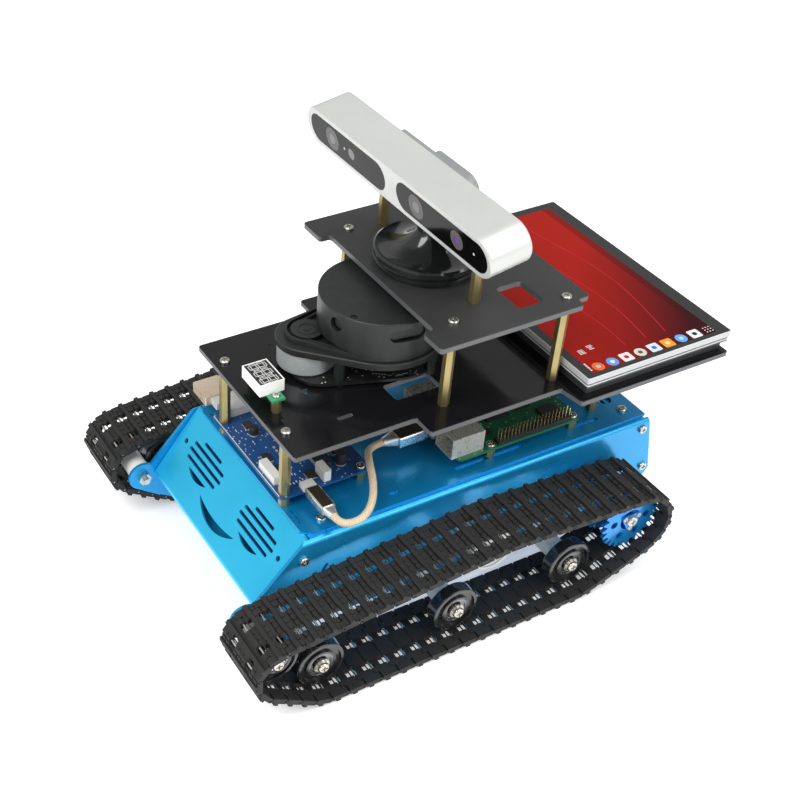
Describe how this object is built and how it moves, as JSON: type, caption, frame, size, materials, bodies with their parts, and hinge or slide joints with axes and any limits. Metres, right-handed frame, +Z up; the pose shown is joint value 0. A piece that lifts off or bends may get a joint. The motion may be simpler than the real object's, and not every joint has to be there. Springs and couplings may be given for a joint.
{
  "type": "tracked robot chassis",
  "caption": "Tracked robot: folded blue sheet-metal tank chassis on link tracks, with two decks, circuit boards, a spinning range finder, a tilting depth camera and a flat display.",
  "frame": {"origin": "on the ground under the centre of the robot's bounding box", "axes": "X across, positive on the robot's left; Y from front to rear; Z up"},
  "size_m": [0.225, 0.3183, 0.2464],
  "materials": {
    "blue_side": "satin blue anodised sheet",
    "blue_top": "satin blue anodised sheet",
    "blue_front": "satin bright blue anodised sheet",
    "motor_metal": "plain steel",
    "battery_wrap": "shrink wrap",
    "track_plastic": "matt moulded nylon",
    "steel": "plated steel",
    "wheel_black": "glossy moulded nylon",
    "roller_grey": "pale grey plastic",
    "sprocket_blue": "blue anodised aluminium",
    "spacer_white": "white nylon",
    "brass": "dull brass",
    "acrylic_black": "black acrylic",
    "board_blue": "blue solder mask",
    "chip_black": "moulded chips",
    "connector_white": "nylon and plated shells",
    "board_green": "green solder mask",
    "port_metal": "plated shells",
    "braid": "beige braid",
    "plug_shell": "silver shell",
    "plug_gold": "beige gold shell",
    "meter_white": "white plastic",
    "board_black": "black solder mask",
    "lidar_plastic": "fine textured black",
    "motor_grey": "pale grey can",
    "belt_rubber": "rubber",
    "gloss_black": "glossy black",
    "bracket_grey": "grey",
    "camera_silver": "satin silver",
    "window_glass": "black glass",
    "display_glass": "display glass and bezel",
    "case_grey": "stacked driver boards"
  },
  "bodies": {
    "root": {"side_plate_left": "blue_side", "side_plate_right": "blue_side", "top_plate": "blue_top", "bottom_plate": "blue_top", "rear_panel": "blue_top", "front_panel": "blue_front", "motor_left": "motor_metal", "motor_right": "motor_metal", "motor_brackets": "motor_metal", "battery_pack": "battery_wrap", "track_left": "track_plastic", "track_right": "track_plastic", "track_pins": "steel", "axle_bolts": "steel", "chassis_screws": "steel", "deck_screws": "steel", "axle_spacers": "spacer_white", "deck_standoffs_lower": "brass", "deck_standoffs_upper": "brass", "board_standoffs": "brass", "camera_standoffs": "brass", "lower_deck": "acrylic_black", "upper_deck": "acrylic_black", "camera_bridge": "acrylic_black", "expansion_board": "board_blue", "expansion_chips": "chip_black", "computer_chips": "chip_black", "computer_header": "chip_black", "expansion_connectors": "connector_white", "computer_board": "board_green", "computer_ports": "port_metal", "usb_cable": "braid", "micro_plug": "plug_shell", "usb_plug": "plug_shell", "side_plug": "plug_gold", "meter_housing": "meter_white", "lidar_board": "board_black", "lidar_base": "lidar_plastic", "lidar_motor": "motor_grey", "lidar_belt": "belt_rubber", "camera_pedestal": "gloss_black", "display_panel": "display_glass", "display_case": "case_grey"},
    "sprocket_left": {"drive_sprocket_left": "sprocket_blue"},
    "idler_left": {"idler_wheel_left": "wheel_black"},
    "road_wheel_1_left": {"road_wheel_left_1": "wheel_black"},
    "road_wheel_2_left": {"road_wheel_left_2": "wheel_black"},
    "road_wheel_3_left": {"road_wheel_left_3": "wheel_black"},
    "return_roller_left": {"return_roller_left": "roller_grey"},
    "sprocket_right": {"drive_sprocket_right": "sprocket_blue"},
    "idler_right": {"idler_wheel_right": "wheel_black"},
    "road_wheel_1_right": {"road_wheel_right_1": "wheel_black"},
    "road_wheel_2_right": {"road_wheel_right_2": "wheel_black"},
    "road_wheel_3_right": {"road_wheel_right_3": "wheel_black"},
    "return_roller_right": {"return_roller_right": "roller_grey"},
    "lidar_turret": {"lidar_turret": "lidar_plastic"},
    "lidar_pulley": {"lidar_pulley": "lidar_plastic"},
    "camera": {"camera_body": "camera_silver", "camera_windows": "window_glass", "camera_bracket": "bracket_grey"}
  },
  "joints": [
    {"name": "sprocket_left_spin", "type": "hinge", "parent": "root", "child": "sprocket_left", "pos_m": [0.0925, 0.0918, 0.03983], "axis": [1, 0, 0], "continuous": true},
    {"name": "idler_left_spin", "type": "hinge", "parent": "root", "child": "idler_left", "pos_m": [0.09725, -0.1408, 0.03633], "axis": [1, 0, 0], "continuous": true},
    {"name": "road_wheel_1_left_spin", "type": "hinge", "parent": "root", "child": "road_wheel_1_left", "pos_m": [0.09725, -0.113, 0.02013], "axis": [1, 0, 0], "continuous": true},
    {"name": "road_wheel_2_left_spin", "type": "hinge", "parent": "root", "child": "road_wheel_2_left", "pos_m": [0.09725, -0.0265, 0.02013], "axis": [1, 0, 0], "continuous": true},
    {"name": "road_wheel_3_left_spin", "type": "hinge", "parent": "root", "child": "road_wheel_3_left", "pos_m": [0.09725, 0.053, 0.02013], "axis": [1, 0, 0], "continuous": true},
    {"name": "return_roller_left_spin", "type": "hinge", "parent": "root", "child": "return_roller_left", "pos_m": [0.09025, -0.0006, 0.04893], "axis": [1, 0, 0], "continuous": true},
    {"name": "sprocket_right_spin", "type": "hinge", "parent": "root", "child": "sprocket_right", "pos_m": [-0.0925, 0.0918, 0.03983], "axis": [1, 0, 0], "continuous": true},
    {"name": "idler_right_spin", "type": "hinge", "parent": "root", "child": "idler_right", "pos_m": [-0.09725, -0.1408, 0.03633], "axis": [1, 0, 0], "continuous": true},
    {"name": "road_wheel_1_right_spin", "type": "hinge", "parent": "root", "child": "road_wheel_1_right", "pos_m": [-0.09725, -0.113, 0.02013], "axis": [1, 0, 0], "continuous": true},
    {"name": "road_wheel_2_right_spin", "type": "hinge", "parent": "root", "child": "road_wheel_2_right", "pos_m": [-0.09725, -0.0265, 0.02013], "axis": [1, 0, 0], "continuous": true},
    {"name": "road_wheel_3_right_spin", "type": "hinge", "parent": "root", "child": "road_wheel_3_right", "pos_m": [-0.09725, 0.053, 0.02013], "axis": [1, 0, 0], "continuous": true},
    {"name": "return_roller_right_spin", "type": "hinge", "parent": "root", "child": "return_roller_right", "pos_m": [-0.09025, -0.0006, 0.04893], "axis": [1, 0, 0], "continuous": true},
    {"name": "lidar_spin", "type": "hinge", "parent": "root", "child": "lidar_turret", "pos_m": [0, -0.0239, 0.15763], "axis": [0, 0, 1], "continuous": true},
    {"name": "lidar_pulley_spin", "type": "hinge", "parent": "root", "child": "lidar_pulley", "pos_m": [-0.0126, -0.0625, 0.14863], "axis": [0, 0, 1], "continuous": true},
    {"name": "camera_tilt", "type": "hinge", "parent": "root", "child": "camera", "pos_m": [-0.004, 0.0015, 0.20863], "axis": [1, 0, 0], "range_deg": [-12, 12]}
  ],
  "couplings": [
    {"joint": "idler_left_spin", "follows": "sprocket_left_spin", "ratio": 1.4},
    {"joint": "road_wheel_1_left_spin", "follows": "sprocket_left_spin", "ratio": 1.3034},
    {"joint": "road_wheel_2_left_spin", "follows": "sprocket_left_spin", "ratio": 1.3034},
    {"joint": "road_wheel_3_left_spin", "follows": "sprocket_left_spin", "ratio": 1.3034},
    {"joint": "return_roller_left_spin", "follows": "sprocket_left_spin", "ratio": 1.3125},
    {"joint": "idler_right_spin", "follows": "sprocket_right_spin", "ratio": 1.4},
    {"joint": "road_wheel_1_right_spin", "follows": "sprocket_right_spin", "ratio": 1.3034},
    {"joint": "road_wheel_2_right_spin", "follows": "sprocket_right_spin", "ratio": 1.3034},
    {"joint": "road_wheel_3_right_spin", "follows": "sprocket_right_spin", "ratio": 1.3034},
    {"joint": "return_roller_right_spin", "follows": "sprocket_right_spin", "ratio": 1.3125},
    {"joint": "lidar_pulley_spin", "follows": "lidar_spin", "ratio": 3.9474}
  ]
}
